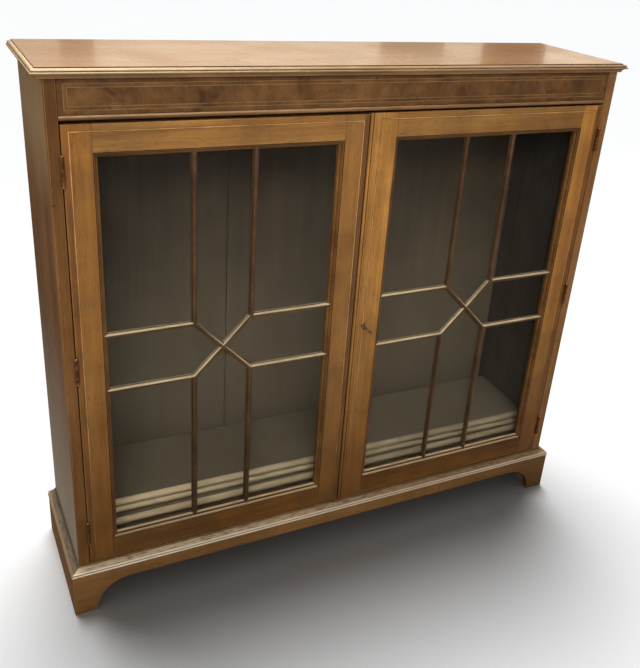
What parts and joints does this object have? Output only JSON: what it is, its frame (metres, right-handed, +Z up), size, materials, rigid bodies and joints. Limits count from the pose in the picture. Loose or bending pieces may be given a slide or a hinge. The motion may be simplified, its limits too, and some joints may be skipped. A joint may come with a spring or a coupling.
{
  "type": "display cabinet",
  "caption": "Low glazed wooden display cabinet on a bracket plinth, with inlaid frieze, astragal-glazed hinged doors, lock and key, door bolt and loose shelves.",
  "frame": {"origin": "on the floor, under the middle of the box round the whole cabinet, key included", "axes": "+X to the right along the front, +Y to the back, +Z up; the doors face -Y"},
  "size_m": [1.22, 0.309, 1.103],
  "materials": {
    "polished_top": "polished mahogany",
    "case_mahogany": "dark waxed mahogany",
    "flame_veneer": "figured mahogany veneer with inlaid lines",
    "back_pine": "stained pine boards",
    "shelf_wood": "pale worn wood",
    "door_mahogany": "faded mahogany with inlaid lines",
    "window_glass": "clear",
    "brass": "tarnished",
    "steel": "dull"
  },
  "bodies": {
    "carcass": {"top_board": "polished_top", "side_left": "case_mahogany", "side_right": "case_mahogany", "bottom_board": "case_mahogany", "base_rail": "case_mahogany", "plinth_front": "case_mahogany", "plinth_left": "case_mahogany", "plinth_right": "case_mahogany", "frieze_rail": "flame_veneer", "back_board_1": "back_pine", "back_board_2": "back_pine", "back_board_3": "back_pine", "shelf_lower": "shelf_wood", "shelf_middle": "shelf_wood", "shelf_upper": "shelf_wood", "frieze_bead": "door_mahogany", "plinth_mould_front": "door_mahogany", "plinth_mould_left": "door_mahogany", "plinth_mould_right": "door_mahogany", "left_lower_hinge_case_leaf": "brass", "left_lower_hinge_pin": "brass", "left_middle_hinge_case_leaf": "brass", "left_middle_hinge_pin": "brass", "left_upper_hinge_case_leaf": "brass", "left_upper_hinge_pin": "brass", "right_lower_hinge_case_leaf": "brass", "right_lower_hinge_pin": "brass", "right_middle_hinge_case_leaf": "brass", "right_middle_hinge_pin": "brass", "right_upper_hinge_case_leaf": "brass", "right_upper_hinge_pin": "brass"},
    "left_door": {"left_bolt_case": "brass", "left_hinge_stile": "door_mahogany", "left_meeting_stile": "door_mahogany", "left_top_rail": "door_mahogany", "left_bottom_rail": "door_mahogany", "left_sight_moulding": "door_mahogany", "left_glazing_bars": "door_mahogany", "left_glass_fillet": "door_mahogany", "left_glass": "window_glass", "left_lower_hinge_door_leaf": "brass", "left_middle_hinge_door_leaf": "brass", "left_upper_hinge_door_leaf": "brass"},
    "right_door": {"right_meeting_bead": "door_mahogany", "escutcheon": "brass", "lock_case": "steel", "right_hinge_stile": "door_mahogany", "right_meeting_stile": "door_mahogany", "right_top_rail": "door_mahogany", "right_bottom_rail": "door_mahogany", "right_sight_moulding": "door_mahogany", "right_glazing_bars": "door_mahogany", "right_glass_fillet": "door_mahogany", "right_glass": "window_glass", "right_lower_hinge_door_leaf": "brass", "right_middle_hinge_door_leaf": "brass", "right_upper_hinge_door_leaf": "brass"},
    "key": {"key": "steel"},
    "lock_bolt": {"lock_bolt": "brass"},
    "left_bolt": {"left_bolt": "brass"}
  },
  "joints": [
    {"name": "left_door_hinge", "type": "hinge", "parent": "carcass", "child": "left_door", "pos_m": [-0.56925, -0.1248, 0.564], "axis": [0, 0, -1], "range_deg": [0, 170]},
    {"name": "right_door_hinge", "type": "hinge", "parent": "carcass", "child": "right_door", "pos_m": [0.56925, -0.1248, 0.564], "axis": [0, 0, 1], "range_deg": [0, 170]},
    {"name": "key_turn", "type": "hinge", "parent": "right_door", "child": "key", "pos_m": [0.02075, -0.1215, 0.56425], "axis": [0, -1, 0], "range_deg": [0, 180]},
    {"name": "lock_bolt_slide", "type": "slide", "parent": "right_door", "child": "lock_bolt", "axis": [-1, 0, 0], "range_m": [0, 0.009]},
    {"name": "left_bolt_slide", "type": "slide", "parent": "left_door", "child": "left_bolt", "axis": [0, 0, 1], "range_m": [0, 0.02]}
  ],
  "couplings": [
    {"joint": "lock_bolt_slide", "follows": "key_turn", "m_per_rad": 0.0028648}
  ]
}
